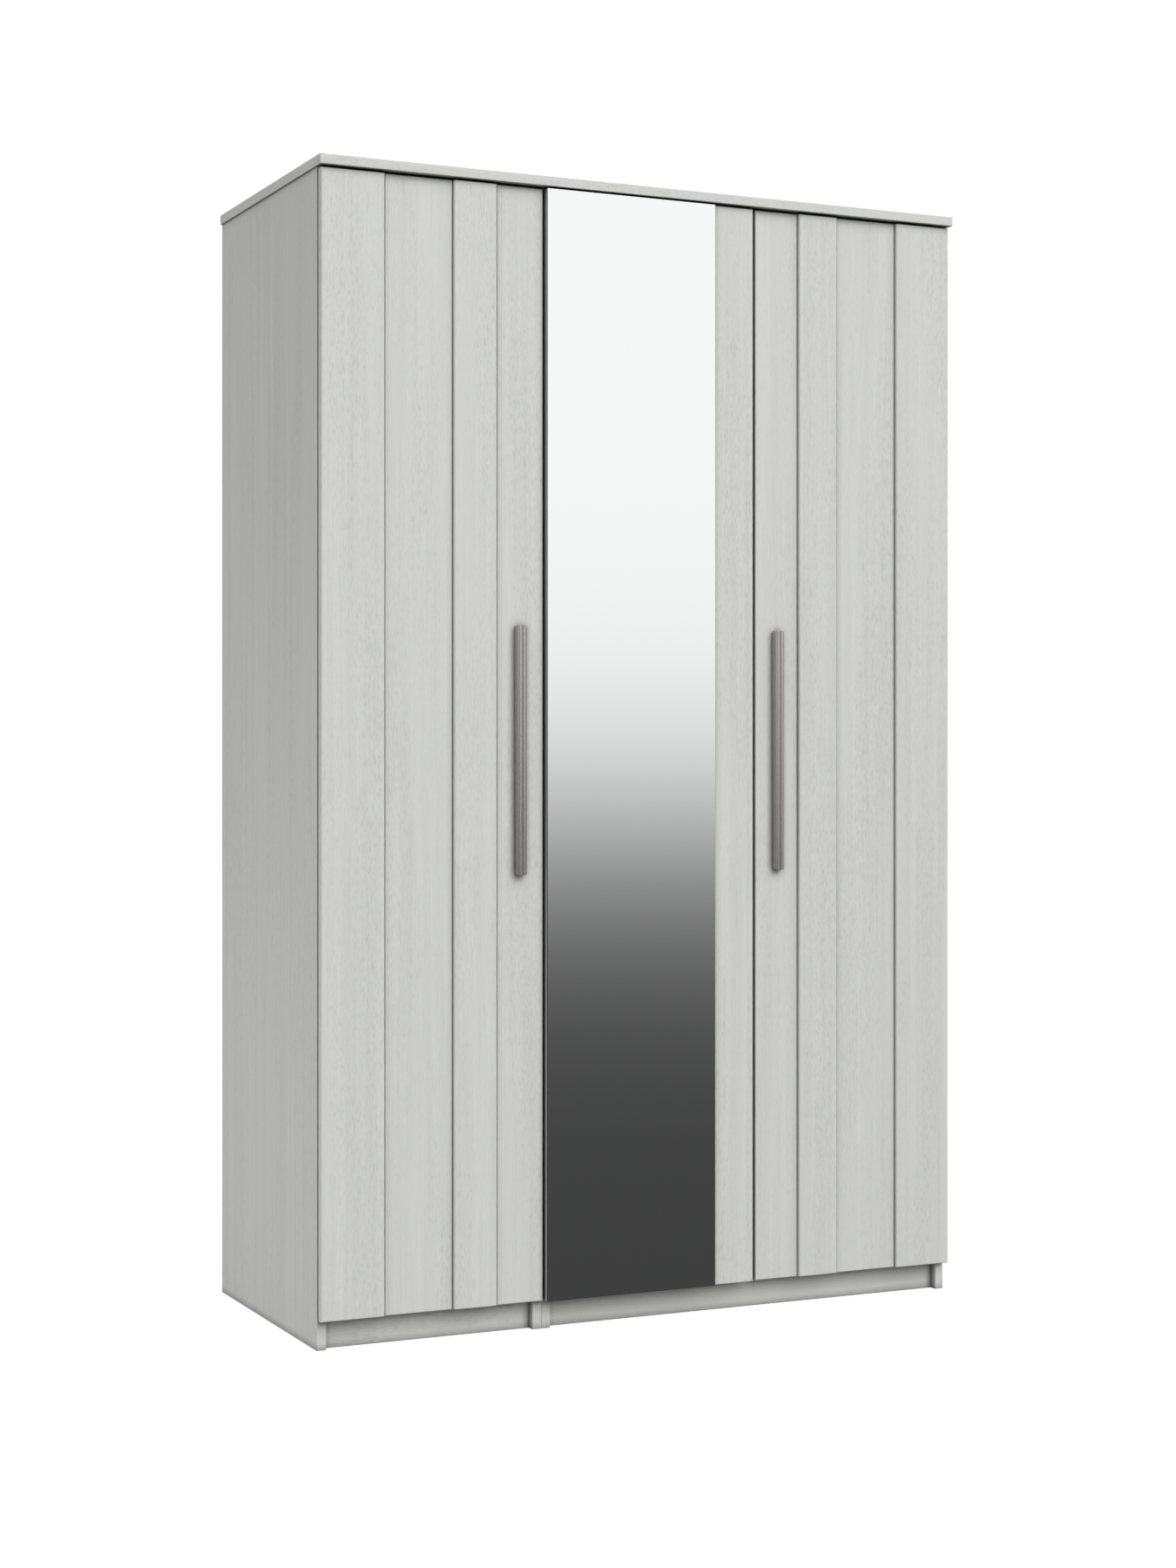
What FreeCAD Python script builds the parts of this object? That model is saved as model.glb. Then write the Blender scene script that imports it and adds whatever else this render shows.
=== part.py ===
import FreeCAD, Part
import Sketcher
import os
import re

# A free-standing wardrobe, 1110 mm wide over its sides: a single-door carcass on the left
# and a double-door carcass on the right, bolted together under one top board.
# Millimetres, +Z up, the doors face -Y. The origin is on the floor at the middle of the outline.

doc = FreeCAD.newDocument("Wardrobe")
sheet = doc.addObject("Spreadsheet::Sheet", "Sizes")

sizes = {
    # carcass
    "leftWidth": 370,
    "rightWidth": 740,
    "sideHeight": 1785,
    "sideDepth": 482,
    "boardThick": 15,
    "topThick": 15,
    "topSideOverhang": 3,
    "topFrontOverhang": 7,
    "plinthHeight": 50,
    "plinthSetback": 13.5,
    "edgeRound": 1,
    "backThick": 3,
    "backInset": 8,
    "grooveDepth": 6,
    "grooveGap": 0.4,
    "backRailHeight": 80,
    # shelves and hanging rail
    "shelfPitch": 330,
    "shelfFirst": 365,
    "shelfSetback": 20,
    "shelfSideGap": 1,
    "pinRadius": 2.5,
    "pinDepth": 8,
    "pinReach": 9,
    "pinFront": 60,
    "pinRear": 80,
    "pinHolePitch": 32,
    "hatShelfHeight": 1480,
    "railRadius": 12.5,
    "railWall": 1.2,
    "railDrop": 60,
    "socketWall": 3,
    "socketPlate": 3,
    "socketReach": 14,
    "socketPlateRadius": 28,
    "socketScrewSpread": 40,
    # carcass fittings
    "camRadius": 7.5,
    "camDepth": 12.5,
    "camInset": 24,
    "camFront": 50,
    "camRear": 60,
    "boltRadius": 3,
    "boltDepth": 11,
    "dowelRadius": 4,
    "dowelDepth": 10,
    "dowelReach": 20,
    "jointBoltRadius": 2.8,
    "jointSleeveWall": 1.1,
    "jointHeadRadius": 7,
    "jointHeadThick": 1.6,
    "jointBoltInset": 100,
    "jointBoltLow": 250,
    "jointBoltHigh": 1550,
    "fitGap": 0.1,
    # doors
    "doorThick": 15,
    "doorBackGap": 3,
    "doorInset": 1,
    "doorSplit": 4,
    "pairSplit": 6,
    "doorBottom": 46,
    "doorTopGap": 3,
    "recessDepth": 4.6,
    "creaseWidth": 1.2,
    "creaseDepth": 1.6,
    "outerBoard": 101,
    "wideRecess": 114.4,
    "narrowBoard": 70.4,
    "stepSlope": 1.5,
    "frontRound": 2,
    "stepRound": 2.5,
    "backRound": 1.5,
    "bumperRadius": 4,
    "bumperThick": 2.6,
    "bumperInset": 7,
    # mirror
    "mirrorWidth": 294.6,
    "mirrorThick": 3,
    "mirrorInset": 0.3,
    "tapeThick": 0.6,
    "tapeWidth": 30,
    "tapeMargin": 25,
    # handles
    "handleLength": 388,
    "handleMiddle": 906,
    "handleWidth": 17,
    "handleDepth": 13.3,
    "handleShoulder": 3.3,
    "handleLip": 1.5,
    "gripDepth": 2,
    "gripEnd": 6.5,
    "ridgeSlope": 1,
    "grooveWidth": 1.8,
    "grooveCut": 0.9,
    "handleCorner": 4,
    "boltInset": 25,
    "screwRadius": 2,
    "screwHeadRadius": 4,
    "screwHeadThick": 2.2,
    "screwBite": 8,
    # hinges
    "hingeInset": 100,
    "cupRadius": 17.5,
    "cupDepth": 12.5,
    "cupWall": 0.6,
    "cupFloor": 0.5,
    "cupEdge": 3.5,
    "flangeThick": 1.2,
    "flangeWidth": 30,
    "flangeHeight": 62,
    "cupScrewSpread": 48,
    "cupScrewShift": 6,
    "cupScrewRadius": 1.7,
    "cupScrewBite": 10,
    "smallHeadRadius": 3.2,
    "smallHeadThick": 1.6,
    "leastPivotInset": 8,
    "pivotDepth": 10,
    "pivotRadius": 0.9,
    "pivotHalf": 11.1,
    "eyeRadius": 1.75,
    "armThick": 2.2,
    "armGap": 1,
    "leastPlateRise": 5,
    "armWidth": 12,
    "armLength": 56,
    "channelWidth": 16,
    "channelWall": 1.2,
    "channelLip": 2.2,
    "plateLength": 50,
    "plateStart": 5,
    "wingHeight": 50,
    "wingWidth": 18,
    "wingThick": 2.5,
    "plateScrewLine": 37,
    "plateScrewSpread": 32,
    "plateScrewRadius": 2.4,
    "armScrewRadius": 2.5,
    "armScrewFirst": 20,
    "armScrewPitch": 25,
}

for row, (alias, value) in enumerate(sizes.items(), start=1):
    sheet.set(f"A{row}", alias)
    sheet.set(f"B{row}", str(value))
    sheet.setAlias(f"B{row}", alias)
doc.recompute()

# Places worked out from the sizes. A later line may use an earlier one.
places = {
    "leftX": "-(leftWidth + rightWidth) / 2",
    "jointX": "leftX + leftWidth",
    "rightX": "(leftWidth + rightWidth) / 2",
    "handleProud": "handleDepth - recessDepth",
    "frontY": "(handleProud + doorThick + doorBackGap - sideDepth) / 2",
    "backY": "frontY + sideDepth",
    "doorBackY": "frontY - doorBackGap",
    "doorFrontY": "doorBackY - doorThick",
    "recessY": "doorFrontY + recessDepth",
    "topY": "doorFrontY - topFrontOverhang",
    "baseTop": "plinthHeight + boardThick",
    "leftClear": "leftWidth - 2 * boardThick",
    "rightClear": "rightWidth - 2 * boardThick",
    "leftClearX": "leftX + boardThick",
    "rightClearX": "jointX + boardThick",
    "backPanelY": "backY - backInset - backThick",
    "railFront": "backPanelY - boardThick",
    "shelfDepth": "backPanelY - frontY - shelfSetback - shelfSideGap",
    "leftDoorX": "leftX + doorInset",
    "leftDoorWidth": "leftWidth - doorSplit",
    "pairDoorWidth": "(rightWidth - 2 * doorInset - pairSplit) / 2",
    "middleDoorX": "jointX + doorInset",
    "rightDoorX": "rightX - doorInset - pairDoorWidth",
    "doorHeight": "sideHeight - doorTopGap - doorBottom",
    "steppedWidth": "outerBoard + wideRecess + narrowBoard",
    "leftHandleX": "leftDoorX + (steppedWidth + leftDoorWidth) / 2",
    "rightHandleX": "rightX - doorInset - (steppedWidth + pairDoorWidth) / 2",
    "panelFace": "boardThick - doorInset",
    "pivotInset": "max(leastPivotInset; panelFace + leastPlateRise - pivotDepth - armGap)",
    "legX": "pivotInset + pivotDepth + armGap",
    "plateRise": "legX - panelFace",
    "cupX": "cupEdge + cupRadius",
    "railY": "frontY + sideDepth / 2",
    "railZ": "hatShelfHeight - railDrop",
}


def sized(text):
    """The same formula with every size and place written as a cell of the sheet."""
    def word(match):
        name = match.group(0)
        if name in places:
            return "(" + sized(places[name]) + ")"
        if name in sizes:
            return "Sizes." + name
        return name
    return re.sub(r"[A-Za-z]+", word, str(text))


def value_of(text):
    """The formula's present value in millimetres."""
    return float(sheet.evalExpression(sized(text)))


def bind(thing, **formulas):
    """Bind properties of an object to formulas."""
    for name, formula in formulas.items():
        thing.setExpression(name, sized(formula))


def put(thing, x=0, y=0, z=0):
    """Bind an object's place."""
    for axis, formula in zip("xyz", (x, y, z)):
        thing.setExpression("Placement.Base." + axis, sized(formula))
    return thing


def box(name, corner, extent):
    """A box from its lowest corner and its extents."""
    thing = doc.addObject("Part::Box", name)
    bind(thing, Length=extent[0], Width=extent[1], Height=extent[2])
    return put(thing, *corner)


turns = {
    "x": FreeCAD.Rotation(FreeCAD.Vector(0, 1, 0), 90),
    "y": FreeCAD.Rotation(FreeCAD.Vector(1, 0, 0), -90),
    "z": FreeCAD.Rotation(),
}


def rod(name, start, axis, radius, length):
    """A cylinder that runs from its start in the positive direction of one axis."""
    thing = doc.addObject("Part::Cylinder", name)
    thing.Placement = FreeCAD.Placement(FreeCAD.Vector(), turns[axis])
    bind(thing, Radius=radius, Height=length)
    return put(thing, *start)


def fused(name, pieces):
    thing = doc.addObject("Part::MultiFuse", name)
    thing.Shapes = pieces
    return thing


def group(name, pieces):
    """Separate solids kept together as one object."""
    thing = doc.addObject("Part::Compound", name)
    thing.Links = pieces
    return thing


def cut(name, base, tools):
    thing = doc.addObject("Part::Cut", name)
    thing.Base = base
    thing.Tool = group(name + "Cuts", tools)
    return thing


def copy(piece, x=0, y=0, z=0):
    """The same piece again, at another place."""
    return put(group(piece.Name + "Copy", [piece]), x, y, z)


def mirrored(piece):
    """The piece reflected left to right."""
    thing = doc.addObject("Part::Mirroring", piece.Name + "Mirrored")
    thing.Source = piece
    thing.Normal = FreeCAD.Vector(1, 0, 0)
    return thing


def rounded(name, base, radius, wanted):
    """The base with every edge that wanted(edge) picks rounded."""
    doc.recompute()
    thing = doc.addObject("Part::Fillet", name)
    thing.Base = base
    size = value_of(radius)
    picked = [i for i, edge in enumerate(base.Shape.Edges, start=1) if wanted(edge)]
    thing.Edges = [(i, size, size) for i in picked]
    return thing


def lies(edge, **at):
    """Whether a straight edge lies in the planes given, such as y=-12."""
    bounds = edge.BoundBox
    spans = {
        "x": (bounds.XMin, bounds.XMax),
        "y": (bounds.YMin, bounds.YMax),
        "z": (bounds.ZMin, bounds.ZMax),
    }
    return all(abs(end - place) < 0.01 for axis, place in at.items() for end in spans[axis])


def outline(body, plane, points):
    """A closed sketch of straight lines through points, each held by two formulas."""
    sketch = body.newObject("Sketcher::SketchObject", body.Name + "Outline")
    base = next(f for f in body.Origin.OriginFeatures if f.Role == plane)
    sketch.AttachmentSupport = [(base, "")]
    sketch.MapMode = "FlatFace"
    corners = [FreeCAD.Vector(value_of(u), value_of(v), 0) for u, v in points]
    for here, there in zip(corners, corners[1:] + corners[:1]):
        sketch.addGeometry(Part.LineSegment(here, there))
    for i in range(len(points)):
        sketch.addConstraint(Sketcher.Constraint("Coincident", i, 2, (i + 1) % len(points), 1))
    for i, (point, corner) in enumerate(zip(points, corners)):
        for kind, formula, at in zip(("DistanceX", "DistanceY"), point, corner):
            held = sketch.addConstraint(Sketcher.Constraint(kind, -1, 1, i, 1, at))
            sketch.setExpression(f"Constraints[{held}]", sized(formula))
    return sketch


def padded(body, sketch, length):
    pad = body.newObject("PartDesign::Pad", body.Name + "Pad")
    pad.Profile = sketch
    bind(pad, Length=length)
    body.Tip = pad
    return pad


def kept(label, thing):
    """Mark an object as a sub-part and name its file."""
    thing.Label = label
    sub_parts.append(thing)
    return thing


sub_parts = []
fitting_cuts = {}   # board name -> tools that cut its fitting holes


def drill(board, *tools):
    fitting_cuts.setdefault(board, []).extend(tools)


# Cams and cam bolts: a bolt screwed into one board, and a cam in the other that draws it in.
cams = []
cam_bolts = []
bolt_run = "boltDepth + camInset - camRadius - fitGap"


def cam_joint(held, holder, cam_at, cam_axis, bolt_at, hole_at, bolt_axis):
    """One cam in the board called held, and its bolt across into the board called holder."""
    cams.append(rod("Cam", cam_at, cam_axis, "camRadius", "camDepth"))
    cam_bolts.append(rod("CamBolt", bolt_at, bolt_axis, "boltRadius", bolt_run))
    hole = rod("CamBoltHole", hole_at, bolt_axis, "boltRadius + fitGap", "camInset + boltDepth")
    drill(held, rod("CamHole", cam_at, cam_axis, "camRadius + fitGap", "camDepth"), hole)
    drill(holder, hole)


def end_cams(board, sides, x, width, cam_y, cam_z, cam_axis, bolt_y, bolt_z):
    """A cam near each end of a level board between two sides."""
    start = f"{x} - boltDepth"
    end = f"{x} + {width} - camInset"
    cam_joint(board, sides[0], (f"{x} + camInset", cam_y, cam_z), cam_axis,
              (start, bolt_y, bolt_z), (start, bolt_y, bolt_z), "x")
    cam_joint(board, sides[1], (end, cam_y, cam_z), cam_axis,
              (f"{end} + camRadius + fitGap", bolt_y, bolt_z), (end, bolt_y, bolt_z), "x")


def top_cams(side, inner_x, middle_x):
    """Two cams at the top of an upright side, with bolts up into the top board."""
    for y in (front_cam_y, rear_cam_y):
        cam_z = "sideHeight - camInset"
        cam_joint(side, "top_panel", (inner_x, y, cam_z), "x",
                  (middle_x, y, f"{cam_z} + camRadius + fitGap"), (middle_x, y, cam_z), "z")


front_cam_y = "frontY + camFront"
rear_cam_y = "backPanelY - camRear"
cam_rows = (front_cam_y, rear_cam_y)
left_sides = ("left_side_panel", "middle_left_panel")
right_sides = ("middle_right_panel", "right_side_panel")

# Each carcass: its name, its two sides, and the place and width of its clear opening.
carcasses = (
    ("left", left_sides, "leftClearX", "leftClear"),
    ("right", right_sides, "rightClearX", "rightClear"),
)
rail_mid = "sideHeight - backRailHeight / 2"
for name, sides, x, width in carcasses:
    for y in cam_rows:
        end_cams(f"{name}_base_panel", sides, x, width, y, "plinthHeight", "z",
                 y, "plinthHeight + boardThick / 2")
    end_cams(f"{name}_back_rail", sides, x, width, "railFront", rail_mid, "y",
             "railFront + boardThick / 2", rail_mid)
for y in cam_rows:
    end_cams("hat_shelf", right_sides, "rightClearX", "rightClear", y, "hatShelfHeight", "z",
             y, "hatShelfHeight + boardThick / 2")
top_cams("left_side_panel", "leftClearX - camDepth", "leftX + boardThick / 2")
top_cams("middle_left_panel", "jointX - boardThick", "jointX - boardThick / 2")
top_cams("middle_right_panel", "rightClearX - camDepth", "jointX + boardThick / 2")
top_cams("right_side_panel", "rightX - boardThick", "rightX - boardThick / 2")
kept("cam_locks", group("CamLocks", cams))
kept("cam_bolts", group("CamBolts", cam_bolts))

# Dowels hold each plinth between its sides.
dowels = []
dowel_y = "frontY + plinthSetback + boardThick / 2"
for name, sides, x, width in carcasses:
    for side, start in zip(sides, (f"{x} - dowelDepth", f"{x} + {width} - dowelReach")):
        at = (start, dowel_y, "plinthHeight / 2")
        dowels.append(rod("Dowel", at, "x", "dowelRadius", "dowelDepth + dowelReach"))
        hole = rod("DowelHole", at, "x", "dowelRadius + fitGap", "dowelDepth + dowelReach")
        drill(side, hole)
        drill(f"{name}_plinth", hole)
kept("plinth_dowels", group("PlinthDowels", dowels))

# Sleeve nuts and bolts clamp the two middle sides together.
joint_bolts = []
joint_nuts = []
for y in ("frontY + jointBoltInset", "backPanelY - jointBoltInset"):
    for z in ("jointBoltLow", "jointBoltHigh"):
        left_face = "(jointX - boardThick)"
        right_face = "(jointX + boardThick)"
        sleeve_radius = "jointBoltRadius + fitGap + jointSleeveWall"
        bore = rod("NutBore", (f"{left_face} - jointHeadThick / 2", y, z), "x",
                   "jointBoltRadius + fitGap", "2 * boardThick + jointHeadThick")
        solid_nut = fused("SolidNut", [
            rod("NutHead", (f"{left_face} - jointHeadThick", y, z), "x", "jointHeadRadius", "jointHeadThick"),
            rod("NutSleeve", (left_face, y, z), "x", sleeve_radius, "2 * boardThick - jointHeadThick"),
        ])
        joint_nuts.append(cut("JointNut", solid_nut, [bore]))
        joint_bolts.append(fused("JointBolt", [
            rod("JointHead", (right_face, y, z), "x", "jointHeadRadius", "jointHeadThick"),
            rod("JointShank", (left_face, y, z), "x", "jointBoltRadius", "2 * boardThick"),
        ]))
        hole = rod("JointHole", (left_face, y, z), "x", f"{sleeve_radius} + fitGap", "2 * boardThick")
        drill("middle_left_panel", hole)
        drill("middle_right_panel", hole)
kept("joining_nuts", group("JoiningNuts", joint_nuts))
kept("joining_bolts", group("JoiningBolts", joint_bolts))

# Shelf pins in the left carcass, with a spare hole above and below each one.
pins = []
shelf_count = 4
left_face = "leftClearX"
right_face = "(leftClearX + leftClear)"
for level in range(shelf_count):
    pin_z = f"shelfFirst + {level} * shelfPitch - pinRadius"
    for y in ("frontY + pinFront", "backPanelY - pinRear"):
        pins.append(rod("ShelfPin", (f"{left_face} - pinDepth", y, pin_z), "x",
                        "pinRadius", "pinDepth + pinReach"))
        pins.append(rod("ShelfPin", (f"{right_face} - pinReach", y, pin_z), "x",
                        "pinRadius", "pinDepth + pinReach"))
        for step in (-1, 0, 1):
            z = f"{pin_z} + {step} * pinHolePitch"
            drill("left_side_panel", rod("PinHole", (f"{left_face} - pinDepth", y, z), "x",
                                         "pinRadius + fitGap", "pinDepth"))
            drill("middle_left_panel", rod("PinHole", (right_face, y, z), "x",
                                           "pinRadius + fitGap", "pinDepth"))
kept("shelf_pins", group("ShelfPins", pins))

# Hanging rail: a round tube between two sockets screwed to the sides.
sockets = []
socket_screws = []
rail_ends = (
    ("middle_right_panel", "rightClearX", 1),
    ("right_side_panel", "(rightX - boardThick)", -1),
)
for side, face, out in rail_ends:
    plate_x = face if out > 0 else f"{face} - socketPlate"
    ring_x = face if out > 0 else f"{face} - socketReach"
    seat_x = f"{face} + socketPlate" if out > 0 else f"{face} - socketReach"
    bore_radius = "railRadius + fitGap"
    screw_length = "cupScrewBite + socketPlate"
    solid_socket = fused("SolidSocket", [
        rod("SocketPlate", (plate_x, "railY", "railZ"), "x", "socketPlateRadius", "socketPlate"),
        rod("SocketRing", (ring_x, "railY", "railZ"), "x", f"{bore_radius} + socketWall", "socketReach"),
    ])
    tools = [rod("SocketBore", (seat_x, "railY", "railZ"), "x", bore_radius, "socketReach - socketPlate")]
    for sign in (-1, 1):
        z = f"railZ + {sign} * socketScrewSpread / 2"
        bite_x = f"{face} - cupScrewBite" if out > 0 else f"{face} - socketPlate"
        head_x = f"{face} + socketPlate" if out > 0 else f"{face} - socketPlate - smallHeadThick"
        socket_screws.append(fused("SocketScrew", [
            rod("SocketScrewHead", (head_x, "railY", z), "x", "smallHeadRadius", "smallHeadThick"),
            rod("SocketScrewShank", (bite_x, "railY", z), "x", "cupScrewRadius", screw_length),
        ]))
        hole = rod("SocketScrewHole", (bite_x, "railY", z), "x", "cupScrewRadius + fitGap", screw_length)
        tools.append(hole)
        drill(side, hole)
    sockets.append(cut("Socket", solid_socket, tools))
kept("rail_sockets", group("RailSockets", sockets))
kept("rail_socket_screws", group("RailSocketScrews", socket_screws))
rail_start = ("rightClearX + socketPlate + fitGap", "railY", "railZ")
rail_length = "rightClear - 2 * (socketPlate + fitGap)"
kept("hanging_rail", cut("HangingRail", rod("RailOuter", rail_start, "x", "railRadius", rail_length),
                         [rod("RailBore", rail_start, "x", "railRadius - railWall", rail_length)]))

# Hinges. One hinge is drawn as for a door hinged on its left: x runs from the door's outer
# edge inwards, y from the door's back into the carcass, z from the hinge's middle.
cup_centre = ("cupX", "-cupDepth", 0)
cup_body = doc.addObject("PartDesign::Body", "CupBody")
cup_outline = outline(cup_body, "XZ_Plane", [
    (0, 0), ("cupRadius", 0), ("cupRadius", "cupDepth"), ("cupRadius - cupWall", "cupDepth"),
    ("cupRadius - cupWall", "cupFloor"), (0, "cupFloor")])
cup_turn = cup_body.newObject("PartDesign::Revolution", "CupTurn")
cup_turn.Profile = cup_outline
cup_turn.ReferenceAxis = (cup_outline, ["V_Axis"])
cup_turn.Angle = 360
cup_body.Tip = cup_turn
cup_body.Placement.Rotation = turns["y"]
put(cup_body, *cup_centre)
pivot_at = ("pivotInset", "-pivotDepth", "-pivotHalf")
ear_screws = [("cupX + cupScrewShift", f"{sign} * cupScrewSpread / 2") for sign in (-1, 1)]
flange = box("Flange", ("cupX - flangeWidth / 2", 0, "-flangeHeight / 2"),
             ("flangeWidth", "flangeThick", "flangeHeight"))
flange_holes = [rod("FlangeMouth", ("cupX", 0, 0), "y", "cupRadius - cupWall", "flangeThick")]
cup_screws = []
pocket_depth = "cupDepth + fitGap"
door_holes = [rod("CupPocket", ("cupX", f"-({pocket_depth})", 0), "y", "cupRadius + fitGap", pocket_depth)]
for x, z in ear_screws:
    shank = "cupScrewBite + flangeThick"
    cup_screws.append(fused("CupScrew", [
        rod("CupScrewHead", (x, "flangeThick", z), "y", "smallHeadRadius", "smallHeadThick"),
        rod("CupScrewShank", (x, "-cupScrewBite", z), "y", "cupScrewRadius", shank),
    ]))
    hole = rod("CupScrewHole", (x, "-cupScrewBite", z), "y", "cupScrewRadius + fitGap", shank)
    flange_holes.append(hole)
    door_holes.append(hole)
pin_hole = rod("PivotHole", pivot_at, "z", "pivotRadius + fitGap", "2 * pivotHalf")
flange_cut = cut("FlangeCut", flange, flange_holes)
hinge_cup = cut("HingeCup", fused("CupAndFlange", [cup_body, flange_cut]), [pin_hole])
hinge_pin = rod("HingePin", pivot_at, "z", "pivotRadius", "2 * pivotHalf")

arm_back = "doorBackGap + armLength"
arm_low = "-pivotDepth - eyeRadius + fitGap"
arm_screw_places = [f"doorBackGap + armScrewFirst + {i} * armScrewPitch" for i in range(2)]
arm_strap = box("ArmStrap", ("pivotInset", arm_low, "-armWidth / 2"),
                ("legX - pivotInset + armThick", "armThick", "armWidth"))
arm_leg = box("ArmLeg", ("legX", arm_low, "-armWidth / 2"),
              ("armThick", f"{arm_back} - ({arm_low})", "armWidth"))
arm_roof = box("ArmRoof", ("legX", "doorBackGap + plateStart", "-channelWidth / 2"),
               ("armThick", "armLength - plateStart", "channelWidth"))
arm_lips = [box("ArmLip", ("legX - channelLip", "doorBackGap + plateStart", z),
                ("channelLip", "armLength - plateStart", "channelWall"))
            for z in ("-channelWidth / 2", "channelWidth / 2 - channelWall")]
arm_eye = rod("ArmEye", ("pivotInset", "-pivotDepth", "-armWidth / 2"), "z", "eyeRadius", "armWidth")
arm_holes = [rod("EyeBore", pivot_at, "z", "pivotRadius + fitGap", "2 * pivotHalf")]
core_width = "(channelWidth - 2 * (channelWall + fitGap))"
plate_core = box("PlateCore", ("panelFace", "doorBackGap + plateStart", f"-{core_width} / 2"),
                 ("plateRise", "plateLength", core_width))
wing_y = "doorBackGap + plateScrewLine"
plate_wing = box("PlateWing", ("panelFace", f"{wing_y} - wingWidth / 2", "-wingHeight / 2"),
                 ("wingThick", "wingWidth", "wingHeight"))
plate_holes = []
arm_screws = []
arm_screw_length = "plateRise + armThick"
for y in arm_screw_places:
    arm_screws.append(fused("ArmScrew", [
        rod("ArmScrewHead", ("legX + armThick", y, 0), "x", "screwHeadRadius", "smallHeadThick"),
        rod("ArmScrewShank", ("panelFace", y, 0), "x", "armScrewRadius", arm_screw_length),
    ]))
    hole = rod("ArmScrewHole", ("panelFace", y, 0), "x", "armScrewRadius + fitGap", arm_screw_length)
    arm_holes.append(hole)
    plate_holes.append(hole)
plate_screws = []
side_holes = []
for sign in (-1, 1):
    z = f"{sign} * plateScrewSpread / 2"
    bite_x = "panelFace - cupScrewBite"
    shank = "cupScrewBite + wingThick"
    plate_screws.append(fused("PlateScrew", [
        rod("PlateScrewHead", ("panelFace + wingThick", wing_y, z), "x", "smallHeadRadius", "smallHeadThick"),
        rod("PlateScrewShank", (bite_x, wing_y, z), "x", "plateScrewRadius", shank),
    ]))
    hole = rod("PlateScrewHole", (bite_x, wing_y, z), "x", "plateScrewRadius + fitGap", shank)
    plate_holes.append(hole)
    side_holes.append(hole)
arm_solid = fused("ArmSolid", [arm_strap, arm_leg, arm_roof, arm_eye] + arm_lips)
hinge_arm = cut("HingeArm", arm_solid, arm_holes)
hinge_plate = cut("HingePlate", fused("PlateSolid", [plate_core, plate_wing]), plate_holes)

# What each hinge kind becomes on a door: node name ending, and the drawn piece.
hinge_kinds = {
    "hinge_cups": hinge_cup,
    "hinge_pins": hinge_pin,
    "cup_screws": group("CupScrewPair", cup_screws),
    "hinge_arms": hinge_arm,
    "hinge_plates": hinge_plate,
}
arm_screw_pair = group("ArmScrewPair", arm_screws)
plate_screw_pair = group("PlateScrewPair", plate_screws)
side_hole_pair = group("SideHolePair", side_holes)
door_hole_set = group("DoorHoleSet", door_holes)
hinge_steps = 2
hinge_levels = [f"doorBottom + hingeInset + {i} * (doorHeight - 2 * hingeInset) / {hinge_steps}"
                for i in range(hinge_steps + 1)]

# Each door: its name, its hinged edge, whether it hangs on its right, and the side it hangs on.
doors = (
    ("left", "leftDoorX", False, "left_side_panel"),
    ("middle", "middleDoorX", False, "middle_right_panel"),
    ("right", "(rightX - doorInset)", True, "right_side_panel"),
)
all_arm_screws = []
all_plate_screws = []
door_cuts = {}
for name, edge_x, hangs_right, side in doors:
    def hung(piece, z):
        """A hinge piece at one level of this door."""
        source = mirrored(piece) if hangs_right else piece
        return copy(source, edge_x, "doorBackY", z)

    for ending, piece in hinge_kinds.items():
        kept(f"{name}_{ending}", group(name + ending, [hung(piece, z) for z in hinge_levels]))
    all_arm_screws += [hung(arm_screw_pair, z) for z in hinge_levels]
    all_plate_screws += [hung(plate_screw_pair, z) for z in hinge_levels]
    drill(side, *[hung(side_hole_pair, z) for z in hinge_levels])
    door_cuts[name] = [hung(door_hole_set, z) for z in hinge_levels]
kept("hinge_arm_screws", group("HingeArmScrews", all_arm_screws))
kept("hinge_plate_screws", group("HingePlateScrews", all_plate_screws))

# Handles: a solid bar with two ridges in front and a finger groove along each side, drawn once
# with y from the bar's back, where it lies on the door, and z from its lower end.
bar_body = doc.addObject("PartDesign::Body", "BarBody")
half_bar = [
    ("handleWidth / 2", 0),
    ("handleWidth / 2", "-handleLip"),
    ("handleWidth / 2 - gripDepth", "-(handleLip + gripDepth / 2)"),
    ("handleWidth / 2 - gripDepth", "-(gripEnd - gripDepth / 2)"),
    ("handleWidth / 2", "-gripEnd"),
    ("handleWidth / 2", "-(handleDepth - handleShoulder)"),
    ("handleWidth / 2 - handleShoulder + ridgeSlope / 2", "-(handleDepth - ridgeSlope / 2)"),
    ("handleWidth / 2 - handleShoulder - ridgeSlope / 2", "-handleDepth"),
    ("grooveWidth / 2 + ridgeSlope", "-handleDepth"),
    ("grooveWidth / 2", "-(handleDepth - grooveCut)"),
]
other_half = [(f"-({x})", y) for x, y in reversed(half_bar)]
padded(bar_body, outline(bar_body, "XY_Plane", half_bar + other_half), "handleLength")


def runs_back(edge):
    """Whether an edge runs straight from front to back."""
    return edge.BoundBox.XLength < 0.01 and edge.BoundBox.ZLength < 0.01


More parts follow.
